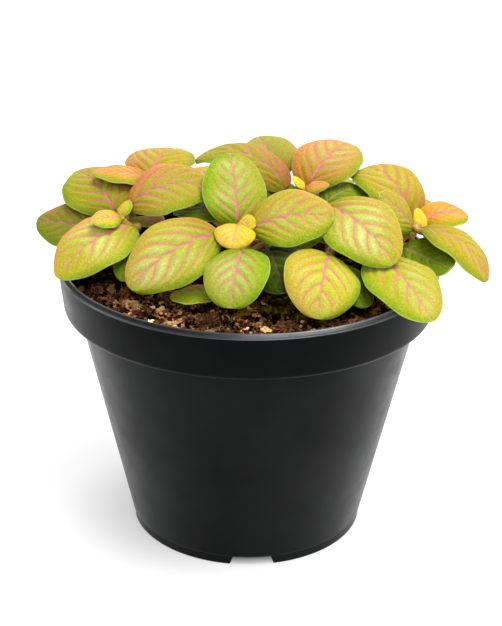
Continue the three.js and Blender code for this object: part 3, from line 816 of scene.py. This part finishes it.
def blade_ground(nodes, share, rim, distance):
    """The colour between the veins: the tint, greener at the rim, with painted sheen, blush and painted
    shade at the base.
    """
    blush, painted_sheen_share, strength = nodes.parts("mood")
    _, tipped, base_shade_strength = nodes.parts("light")
    edge = nodes.times(
        nodes.fade(rim, 0.4, 3.6, 0.85),
        nodes.ramp(blush, 0.2, 0.8, 1.0, 0.1),
        nodes.ramp(strength, 0.5, 0.9),
    )
    greener = nodes.ramp(nodes.speckle(90, 1.0), 0.45, 0.75, 0.0, 0.15)
    ground = nodes.mix(nodes.compute("MAXIMUM", edge, greener), nodes.carried("tint"), rgba(RIM_GREEN))
    # Painted sheen: pale patches in place of glancing light, more towards the tip and away from the veins
    # and the rim
    bloom = nodes.times(
        nodes.ramp(nodes.speckle(60, 1.0), 0.25, 0.7),
        nodes.ramp(rim, 0.6, 4.5),
        nodes.ramp(share, 0.1, 0.55, 0.3, 1.0),
        nodes.ramp(distance, 0.2, 2.0, 0.3, 0.75),
        painted_sheen_share,
    )
    ground = nodes.mix(bloom, ground, rgba(PAINTED_SHEEN_COLOUR))

    # Blush lies near the veins, at the tip or the base, in patches, and at the rim of a rosy leaf
    near = nodes.fade(distance, 0.1, 1.3, 0.45)
    patches = nodes.ramp(nodes.speckle(90, 3.0), 0.4, 0.7)
    tip = nodes.times(nodes.ramp(share, 0.5, 1.0), tipped)
    base = nodes.times(nodes.ramp(share, 0.15, 0.7, -1.0, 0.0), tipped)
    patchy = nodes.compute("MULTIPLY_ADD", patches, 0.2, nodes.compute("MAXIMUM", tip, base))
    rosy_rim = nodes.times(nodes.fade(rim, 0.5, 5.0, 0.5), patches, nodes.ramp(blush, 0.3, 0.9))
    glow = nodes.compute("ADD", nodes.compute("ADD", near, patchy), rosy_rim)
    ground = nodes.mix(nodes.times(glow, blush), ground, rgba(BLUSH))
    # Painted shade at the base, which is darker and richer where the leaves above shade it
    painted_base_shade = nodes.times(nodes.fade(share, 0.0, 0.42), base_shade_strength)
    return nodes.mix(painted_base_shade, ground, nodes.toned(ground, 1.12, 0.62))


def leaf_material():
    """Green to amber blades with pink veins, a greener rim and a fine pebbled surface."""
    nodes = Nodes("leaf")
    share, rim, upper = nodes.parts("place")
    strength = nodes.parts("mood")[2]
    shade = nodes.parts("light")[0]
    side, rib, distance = vein_masks(nodes, share, rim)
    ground = blade_ground(nodes, share, rim, distance)
    fine = nodes.ramp(nodes.speckle(1800), 0.36, 0.64)
    ground = nodes.mix(fine, nodes.toned(ground, 0.98, 1.07), nodes.toned(ground, 1.04, 0.89))
    vein_tone = nodes.mix(nodes.ramp(rim, 3.0, 8.0), rgba(VEIN_SALMON), rgba(VEIN_PINK))
    rib_tone = nodes.mix(nodes.ramp(share, 0.02, 0.16), rgba(VEIN_BASE), rgba(RIB_PINK))
    colour = nodes.mix(nodes.times(side, strength), ground, vein_tone)
    colour = nodes.mix(nodes.times(rib, strength), colour, rib_tone)
    # Painted light: a thin pale line along the rim
    colour = nodes.mix(nodes.fade(rim, 0.1, 0.4, 0.42), colour, rgba(PAINTED_RIM_LIGHT))
    colour = nodes.mix(upper, nodes.toned(colour, 0.95, 0.8), colour)
    # Each leaf's brightness scales its colour, partly its own colour and partly painted shade
    colour = nodes.add("VectorMath", {0: colour, "Scale": shade}, operation="SCALE")
    pebbles = nodes.cells(1000, "SMOOTH_F1")
    pebbles = nodes.compute("MULTIPLY_ADD", pebbles, -1.0, nodes.times(fine, 0.5))
    nodes.set(
        Base_Color=colour,
        Roughness=nodes.ramp(nodes.speckle(700), 0.3, 0.7, 0.52, 0.62),
        Normal=nodes.bump(pebbles, 0.6, 0.2),
        IOR=1.2,
        Specular_IOR_Level=0.3,
        Subsurface_Weight=0.4,
        Subsurface_Radius=(1.0, 1.0, 0.2),
        Subsurface_Scale=1.0 * MM,
    )
    return nodes.material


def stem_material():
    """Fleshy stems with fine darker mottles."""
    nodes = Nodes("stem")
    tint = nodes.carried("tint")
    mottle = nodes.ramp(nodes.speckle(500, 3.0), 0.3, 0.7)
    nodes.set(
        Base_Color=nodes.mix(nodes.times(mottle, 0.6), tint, nodes.toned(tint, 1.0, 0.6)),
        Roughness=0.45,
        Normal=nodes.bump(nodes.speckle(1500, 3.0), 0.4, 0.15),
        Subsurface_Weight=0.15,
        Subsurface_Scale=1.0 * MM,
    )
    return nodes.material


def plastic_material():
    """Black moulded plastic with a fine texture, faint scuffs, dust, and a bright line along its lip."""
    nodes = Nodes("black_plastic")
    height = nodes.add("SeparateXYZ", {"Vector": nodes.place}, 2)

    def by_height(low, high, below, above):
        return nodes.ramp(height, low * MM, high * MM, below, above)

    scuffs = nodes.ramp(nodes.speckle(90, 6.0, 0.65), 0.55, 0.8)
    lip = by_height(POT_HEIGHT - 1.4, POT_HEIGHT - 1.05, 0.0, 1.4)
    slope = by_height(POT_HEIGHT - 0.9, POT_HEIGHT - 0.7, 1.0, 0.34)
    crest = by_height(POT_HEIGHT - 0.3, POT_HEIGHT - 0.05, 0.0, 0.5)
    lip = nodes.times(lip, nodes.compute("ADD", slope, crest))
    facing = nodes.add("LayerWeight", {"Blend": 0.5}, "Facing")
    body = by_height(COLLAR_BOTTOM - 1, COLLAR_BOTTOM, 1.08, 0.8)
    gloss = nodes.times(nodes.ramp(facing, 0.2, 0.8, 0.075, 0.115), body)
    foot = by_height(FOOT_HEIGHT - 0.5, FOOT_HEIGHT + 0.6, 1.5, 1.0)
    dust = nodes.ramp(nodes.speckle(30, 5.0, 0.6), 0.3, 0.7, 0.8, 1.25)
    nodes.set(
        Base_Color=nodes.mix(nodes.times(scuffs, 0.5), PLASTIC_BLACK, PLASTIC_SCUFF),
        Roughness=nodes.ramp(nodes.speckle(160, 4.0), 0.3, 0.7, 0.28, 0.36),
        Normal=nodes.bump(nodes.speckle(2600), 0.25, 0.05),
        Specular_IOR_Level=nodes.times(nodes.compute("MAXIMUM", gloss, lip), foot, dust),
        Specular_Tint=(0.95, 0.98, 1.0, 1),
    )
    return nodes.material


def soil_material():
    """Crumbly earth whose tint comes with the mesh."""
    nodes = Nodes("earth")
    tint = nodes.carried("tint")
    grains = nodes.ramp(nodes.speckle(900, 4.0, 0.65), 0.35, 0.7)
    nodes.set(
        Base_Color=nodes.mix(nodes.times(grains, 0.75), tint, nodes.toned(tint, 1.0, 0.2)),
        Roughness=0.95,
        Normal=nodes.bump(nodes.speckle(1400, 4.0, 0.7), 0.9, 0.7),
        Specular_IOR_Level=0.08,
    )
    return nodes.material


# The pot
def rounded(outline):
    """An outline whose corners [radius, height, fillet] are rounded to arcs."""
    made = []
    for index, (r, z, fillet) in enumerate(outline):
        corner = np.array([r, z], float)
        if fillet == 0:
            made.append(corner)
            continue
        ways = [np.array(outline[index + step][:2], float) - corner for step in (-1, 1)]
        lengths = [np.linalg.norm(way) for way in ways]
        reach = min(fillet, 0.45 * min(lengths))
        start, end = (corner + way / length * reach for way, length in zip(ways, lengths))
        made.extend(bezier(start, corner, end, np.linspace(0, 1, FILLET_STEPS)))
    return np.array(made)


def inner_radius(height):
    """The radius of the inside of the pot's body at a height."""
    return BASE_RADIUS + (BODY_TOP_RADIUS - BASE_RADIUS) * height / COLLAR_BOTTOM - WALL


def pot_outline():
    """The pot's outside from the ground up, over the lip and down its inside."""
    lip_outer = RIM_RADIUS - LIP_STEP
    shelf = COLLAR_BOTTOM + WALL
    foot_inner = BASE_RADIUS - FOOT_WIDTH
    return rounded([
        (0, 0, 0),
        (CENTRE_FOOT_RADIUS, 0, 0.4),
        (CENTRE_FOOT_RADIUS, FLOOR_BOTTOM, 0.4),
        (foot_inner, FLOOR_BOTTOM, 0.4),
        (foot_inner, 0, 0.4),
        (BASE_RADIUS, 0, 0.6),
        (BASE_RADIUS, FOOT_HEIGHT, 0.5),
        (BASE_RADIUS + FOOT_STEP, FOOT_HEIGHT + FOOT_SLOPE, 0.5),
        (BODY_TOP_RADIUS, COLLAR_BOTTOM, 0.3),
        (COLLAR_RADIUS, COLLAR_BOTTOM, 1.8),
        (RIM_RADIUS, POT_HEIGHT - LIP_HEIGHT, 0.5),
        (lip_outer, POT_HEIGHT - LIP_HEIGHT, 0.2),
        (lip_outer, POT_HEIGHT - LIP_SLOPE, 0.15),
        (lip_outer - LIP_BEVEL, POT_HEIGHT, 0.5),
        (lip_outer - LIP_WIDTH, POT_HEIGHT, 0.6),
        (COLLAR_RADIUS - WALL, shelf, 0.6),
        (inner_radius(shelf), shelf, 0.6),
        (inner_radius(FLOOR_TOP), FLOOR_TOP, 1.0),
        (0, FLOOR_TOP, 0),
    ])


def notch_bearing(index):
    return 2 * math.pi * index / NOTCH_COUNT - math.pi / 2 + math.radians(NOTCH_TURN)


def notch_angles():
    """Turns of the mesh columns: even ones, and closer ones beside each notch."""
    half = NOTCH_WIDTH / 2
    beside = [math.asin(x / BASE_RADIUS) for x in (half - NOTCH_BEVEL, half - NOTCH_BEVEL / 2, half)]
    extra = [notch_bearing(k) + sign * b for k in range(NOTCH_COUNT) for b in beside for sign in (-1, 1)]
    even = np.linspace(0, 2 * np.pi, POT_SIDES, endpoint=False)
    return np.unique(np.round(np.concatenate([even, np.array(extra) % (2 * np.pi)]), 4))


def make_pot(material):
    """The pot turned from its outline, with notches in its foot and drain holes in its floor."""
    outline = pot_outline()
    r, turn = np.meshgrid(outline[1:-1, 0], notch_angles(), indexing="ij")
    z = np.broadcast_to(outline[1:-1, 1][:, None], r.shape)
    sector = math.pi / NOTCH_COUNT
    off = (turn - notch_bearing(0) + sector) % (2 * sector) - sector
    side = np.abs(r * np.sin(off))
    roof = FLOOR_BOTTOM * np.clip((NOTCH_WIDTH / 2 - side) / NOTCH_BEVEL, 0, 1)
    ring = (r > BASE_RADIUS - FOOT_WIDTH - 0.5) & (z < FLOOR_BOTTOM)
    z = np.where(ring, np.maximum(z, roof), z)
    points = np.stack([r * np.cos(turn), r * np.sin(turn), z], -1).reshape(-1, 3)
    points = np.concatenate([points, [[0, 0, outline[0, 1]], [0, 0, outline[-1, 1]]]])
    shell = Part(points, shell_faces(*r.shape), 0, {})
    pot = make_piece("pot_moulded", [shell], [material], ["pot"])
    for index in range(NOTCH_COUNT):
        cut_drain(pot, notch_bearing(index))


def cut_drain(pot, turn):
    """A round drain hole through the pot's floor."""
    shape = bmesh.new()
    tall = (FLOOR_TOP - FLOOR_BOTTOM + 2) * MM
    radius = DRAIN_RADIUS * MM
    sizes = {"radius1": radius, "radius2": radius, "depth": tall}
    bmesh.ops.create_cone(shape, cap_ends=True, segments=DRAIN_SIDES, **sizes)
    middle = (FLOOR_TOP + FLOOR_BOTTOM) / 2
    centre = Vector((DRAIN_PLACE * math.cos(turn), DRAIN_PLACE * math.sin(turn), middle))
    bmesh.ops.translate(shape, verts=shape.verts, vec=centre * MM)
    cutter = object_of(shape, "drain")
    modifier = pot.modifiers.new("drain", "BOOLEAN")
    modifier.object = cutter
    modifier.operation = "DIFFERENCE"
    graph = bpy.context.evaluated_depsgraph_get()
    cut = bpy.data.meshes.new_from_object(pot.evaluated_get(graph))
    pot.modifiers.clear()
    pot.data = cut
    bpy.data.objects.remove(cutter)


# The soil
def ground_height(x, y):
    """The height of the soil's surface: a low mound with lumps."""
    share = np.hypot(x, y) / RIM_RADIUS
    broad = np.sin(BROAD_LUMPS["per_x"] * x + BROAD_LUMPS["shift"]) * np.cos(BROAD_LUMPS["per_y"] * y)
    fine = np.sin(FINE_LUMPS["per_x"] * x - FINE_LUMPS["per_y"] * y)
    lumps = BROAD_LUMPS["height"] * broad + FINE_LUMPS["height"] * fine
    return SOIL_LEVEL + MOUND_RISE - EDGE_DROP * share**2 + lumps


def many_noises(x, y, scale, octaves, height):
    """Fractal noise at many places."""
    places = zip(x.ravel() * scale, y.ravel() * scale)
    made = [noise.fractal(Vector((a, b, height)), 0.7, 2.1, octaves) for a, b in places]
    return np.array(made).reshape(x.shape)


def painted_daylight(x, y):
    """Painted light on the soil: brighter at the front, with painted shade under the leaves and down by
    the rim.
    """
    front = smooth_step(*FRONT_BAND, y + FRONT_SKEW * x)
    rim = smooth_step(*RIM_BAND, np.hypot(x, y))
    return (PAINTED_DAYLIGHT["under"] + PAINTED_DAYLIGHT["front"] * front) * (1 - PAINTED_DAYLIGHT["rim"] * rim)


def make_ground(material):
    """The soil's rough surface, black earth and painted shade in its pits, paler grains in painted
    daylight, closed below.
    """
    reach = SOIL_EDGE * np.linspace(0.01, 1, GROUND_RINGS)
    turn = np.linspace(0, 2 * np.pi, GROUND_COLUMNS, endpoint=False)
    r, t = np.meshgrid(reach, turn, indexing="ij")
    x, y = r * np.cos(t), r * np.sin(t)
    lumps = many_noises(x, y, 0.28, 3, 3.0)
    grains = many_noises(x, y, 1.1, 3, 9.0)
    z = ground_height(x, y) - GROUND_SUNK + 1.4 * lumps + 0.8 * grains
    top = np.stack([x, y, z], -1).reshape(-1, 3)
    skirt = np.stack([x[-1], y[-1], np.full(GROUND_COLUMNS, COLLAR_BOTTOM + WALL + 0.3)], -1)
    points = np.concatenate([top, skirt, [[0, 0, z[0].mean()], [0, 0, skirt[0, 2]]]])
    faces = shell_faces(GROUND_RINGS + 1, GROUND_COLUMNS, flip=True)
    peak = (smooth_step(-0.3, 0.9, grains + 0.5 * lumps) ** 1.5)[..., None]
    tone = many_noises(x, y, 0.5, 2, 21.0)[..., None]
    bright = earth("brown") + (earth("tan") - earth("brown")) * smooth_step(0, 0.9, tone)
    # Black earth and painted shade in the pits, and painted daylight on the grains
    tint = earth("black") * (1 - peak) + bright * peak * painted_daylight(x, y)[..., None]
    below = np.broadcast_to(earth("black"), (GROUND_COLUMNS + 2, 3))
    values = {"tint": np.concatenate([tint.reshape(-1, 3), below])}
    make_piece("soil_ground", [Part(points, faces, 0, values)], [material], ["soil"])


def lump_shape(divisions):
    """The points and faces of a round lump of one unit."""
    shape = bmesh.new()
    bmesh.ops.create_icosphere(shape, subdivisions=divisions, radius=1)
    points = np.array([v.co for v in shape.verts])
    faces = np.array([[v.index for v in f.verts] for f in shape.faces])
    shape.free()
    return points, faces


def blocky_shape(power):
    """The points and faces of a finer lump, the more like a block the lower the power."""
    points, faces = lump_shape(4)
    return np.sign(points) * np.abs(points) ** power, faces


def ragged(points, seed, amount, scale):
    """Points pushed in and out by noise, so that no two lumps are alike."""
    offset = Vector((seed * 7.3, seed * 3.1, seed * 1.7))
    push = np.array([noise.fractal(Vector(p) * scale + offset, 0.7, 2.0, 3) for p in points])
    return points * (1 + amount * push)[:, None]


def crumbled(points, seed):
    """Points pushed in and out finely, and how bright each is painted: painted shade in pits and painted
    light on crumbs.
    """
    offset = Vector((seed * 1.3, seed * 5.1, seed * 2.7))
    fine = np.array([noise.fractal(Vector(p) * 5 + offset, 0.8, 2.2, 3) for p in points])
    # Painted shade where points are pushed in, and painted light where they are pushed out
    bright = 0.1 + 1.5 * smooth_step(-0.4, 0.7, fine) ** 1.5
    return points * (1 + 0.16 * fine)[:, None], bright[:, None]


def turned(*turns):
    """A matrix that turns points in rows by angles about axes, of which the last comes first."""
    product = Matrix.Identity(3)
    for angle, axis in turns:
        product = product @ Matrix.Rotation(angle, 3, axis)
    return np.array(product).T


def spun(points, draw):
    """Points turned every which way."""
    return points @ turned((2 * math.pi * next(draw), "Z"), (math.pi * next(draw), "X"))


def somewhere(draw, reach):
    """A random place in a circle."""
    r = reach * math.sqrt(next(draw))
    t = 2 * math.pi * next(draw)
    return r * math.cos(t), r * math.sin(t)


def lump_at(place, points, faces, tint):
    return Part(points + np.array(place), [faces], 0, {"tint": tint})


def make_crumbs(name, count, sizes, divisions, seed, material):
    """Loose crumbs of earth and bark strewn over the soil, with more painted shade the deeper they lie.
    """
    draw = seeded_draw(seed)
    points, faces = lump_shape(divisions)
    parts = []
    for index in range(count):
        x, y = somewhere(draw, STREWN_REACH)
        size = sizes[0] + (sizes[1] - sizes[0]) * next(draw) ** 2
        stretch = np.array([1 + 1.2 * next(draw), 1, 0.5 + 0.4 * next(draw)])
        lump = spun(ragged(points, index, 1.1, 1.6) * stretch * size, draw)
        raised = next(draw)
        height = ground_height(x, y) - 0.9 + 1.7 * raised
        tone = earth(CRUMB_TONES[int(next(draw) * len(CRUMB_TONES))])
        # Painted shade on crumbs that lie low, and painted daylight
        tint = tone * (0.06 + 1.0 * raised**1.5 + 0.7 * raised * next(draw)) * painted_daylight(x, y)
        parts.append(lump_at((x, y, height), lump, faces, tint))
    make_piece(name, parts, [material], smooth=False)


def make_chips(material):
    """Bark chips, in the places and of the sizes that the CAD source draws."""
    draw = seeded_draw(CHIP_SEED)

    def between(limits):
        return limits[0] + (limits[1] - limits[0]) * next(draw)

    points, faces = blocky_shape(0.6)
    parts = []
    for index in range(CHIP_COUNT):
        x, y = somewhere(draw, CHIP_REACH)
        size = np.array([between(CHIP_LENGTH), between(CHIP_WIDTH), between(CHIP_DEPTH)]) / 2
        tilt = math.radians(between(CHIP_TILT))
        rock = math.radians(between(CHIP_ROCK))
        spin = 2 * math.pi * next(draw)
        if min(math.dist(shoot.foot, (x, y)) for shoot in SHOOTS.values()) <= CHIP_CLEAR:
            continue
        lump, bright = crumbled(ragged(points, 50 + index, 0.9, 2.4), index)
        chip = lump * size * 0.8 @ turned((spin, "Z"), (rock, "Y"), (tilt, "X"))
        # Painted shade in the chips' pits, and painted daylight
        tint = earth(CHIP_TONES[index % len(CHIP_TONES)]) * 0.6 * bright * painted_daylight(x, y)
        parts.append(lump_at((x, y, ground_height(x, y) - 0.4), chip, faces, tint))
    make_piece("soil_chips", parts, [material], smooth=False)


def make_fibres(material):
    """Thin bits of root and wood fibre lying on the soil."""
    draw = seeded_draw(FIBRE_SEED)
    share = np.linspace(0, 1, FIBRE_STEPS)
    parts = []
    for index in range(FIBRE_COUNT):
        x, y = somewhere(draw, STREWN_REACH)
        bearing = 2 * math.pi * next(draw)
        bow = 1.6 * (next(draw) - 0.5)
        step = (1.5 + 4 * next(draw) ** 2) / (FIBRE_STEPS - 1)
        heading = bearing + bow * share
        px = x + np.cumsum(np.cos(heading)) * step
        py = y + np.cumsum(np.sin(heading)) * step
        inside = np.minimum(1, STREWN_REACH / np.maximum(np.hypot(px, py), 1))
        px, py = px * inside, py * inside
        pz = ground_height(px, py) + 0.5 + 0.9 * np.sin(np.pi * share) * next(draw)
        radii = (0.07 + 0.12 * next(draw)) * (1 - 0.5 * share)
        # Painted daylight on the fibres
        tint = earth(FIBRE_TONES[index % len(FIBRE_TONES)]) * 0.6 * painted_daylight(x, y)
        parts.append(tube(np.stack([px, py, pz], -1), radii, FIBRE_SIDES, tint))
    make_piece("soil_fibres", parts, [material])


def make_moss(material):
    """Small cushions of moss in patches."""
    draw = seeded_draw(MOSS_SEED)
    points, faces = lump_shape(1)
    parts = []
    for (x, y), reach in MOSS_PATCHES:
        for index in range(MOSS_PER_MM * reach):
            aside, ahead = somewhere(draw, reach)
            px, py = x + aside, y + ahead
            size = 0.35 + 0.6 * next(draw)
            lump = spun(ragged(points, index + x, 0.9, 1.6) * np.array([1.4, 1, 0.6]) * size, draw)
            height = ground_height(px, py) + 0.2 + 0.6 * next(draw)
            tint = earth("moss") * (0.1 + 1.6 * next(draw) ** 2)
            parts.append(lump_at((px, py, height), lump, faces, tint))
    make_piece("soil_moss", parts, [material])


def make_litter(material):
    """Larger bits of bark, wood and dry leaf on the soil."""
    points, faces = blocky_shape(0.7)
    parts = []
    for index, bit in enumerate(LITTER):
        lump, bright = crumbled(ragged(points, 90 + index, 0.7, 1.8), 40 + index)
        lump = lump * np.array(bit.size) / 2 @ turned((math.radians(bit.turn), "Z"))
        height = ground_height(*bit.at) + 0.2 + bit.size[2] / 4
        # Painted light on each bit, up to a limit, with painted shade in its pits
        tint = earth(bit.tone) * np.minimum(bit.light * bright, LITTER_BRIGHTEST)
        parts.append(lump_at((*bit.at, height), lump, faces, tint))
    make_piece("soil_litter", parts, [material], smooth=False)


# The studio
def floor_glow(nodes):
    """The floor's own glow, dimmed under the pot and a little to its left as a painted shadow."""
    shade = (SHADE_PLACE[0] * MM, SHADE_PLACE[1] * MM, 0)
    inside = nodes.add("VectorMath", {0: nodes.place}, "Value", operation="LENGTH")
    beside = nodes.add("VectorMath", {0: nodes.place, 1: shade}, "Value", operation="DISTANCE")
    under = nodes.ramp(inside, UNDER_POT[0] * MM, UNDER_POT[1] * MM, 0.2, 1.0)
    near = nodes.ramp(beside, SHADE_REACH[0] * MM, SHADE_REACH[1] * MM, 0.42, 0.62)
    return nodes.times(under, near)


def make_floor():
    """A wide pale floor."""
    shape = bmesh.new()
    bmesh.ops.create_grid(shape, x_segments=1, y_segments=1, size=FLOOR_REACH * MM)
    floor = object_of(shape, "floor")
    nodes = Nodes("floor")
    nodes.set(
        Base_Color=nodes.mix(nodes.ramp(nodes.speckle(3.0), 0.3, 0.7), *FLOOR_TONES),
        Roughness=0.9,
        Specular_IOR_Level=0.1,
        Emission_Color=(1, 1, 1, 1),
        Emission_Strength=floor_glow(nodes),
    )
    floor.data.materials.append(nodes.material)


def make_camera():
    """The camera that the photograph was taken with."""
    pitch, roll = math.radians(CAMERA_PITCH), math.radians(CAMERA_ROLL)
    forward = Vector((0, math.cos(pitch), -math.sin(pitch)))
    right, up = Vector((1, 0, 0)), Vector((0, math.sin(pitch), math.cos(pitch)))
    rolled_right = math.cos(roll) * right + math.sin(roll) * up
    rolled_up = -math.sin(roll) * right + math.cos(roll) * up
    data = bpy.data.cameras.new("camera")
    data.sensor_width = SENSOR
    data.lens = SENSOR * FOCAL_PIXELS / max(PICTURE)
    data.shift_x = CENTRE_SHIFT_PIXELS / max(PICTURE)
    data.clip_start = CAMERA_NEAR * MM
    camera = new_object("camera", data)
    turn = Matrix((rolled_right, rolled_up, -forward)).transposed().to_4x4()
    camera.matrix_world = Matrix.Translation(Vector(CAMERA_PLACE) * MM) @ turn
    bpy.context.scene.camera = camera


def make_lamp(lamp):
    data = bpy.data.lights.new(lamp.name, "AREA")
    data.shape = "RECTANGLE"
    data.size, data.size_y = lamp.size[0] * MM, lamp.size[1] * MM
    data.energy = lamp.power
    made = new_object(lamp.name, data)
    made.location = Vector(lamp.place) * MM
    way = Vector((0, 0, lamp.aim)) - Vector(lamp.place)
    made.rotation_mode = "QUATERNION"
    made.rotation_quaternion = way.to_track_quat("-Z", "Y")


def make_light():
    """Soft studio light from all round, with a lamp above to the right and one behind."""
    world = bpy.data.worlds.new("studio")
    bpy.context.scene.world = world
    world.use_nodes = True
    background = world.node_tree.nodes["Background"]
    background.inputs["Color"].default_value = (1, 1, 1, 1)
    background.inputs["Strength"].default_value = SKY_STRENGTH
    for lamp in LAMPS:
        make_lamp(lamp)
    bpy.context.scene.view_settings.view_transform = "Standard"


def main():
    make_camera()
    make_light()
    make_floor()
    make_pot(plastic_material())
    soil = soil_material()
    make_ground(soil)
    for name, crumbs in CRUMBS.items():
        make_crumbs(name, **crumbs, material=soil)
    make_chips(soil)
    make_fibres(soil)
    make_moss(soil)
    make_litter(soil)
    materials = [leaf_material(), stem_material()]
    number = 0
    for name, shoot in SHOOTS.items():
        make_shoot(name, shoot, materials, number)
        number += len(shoot.leaves)


main()
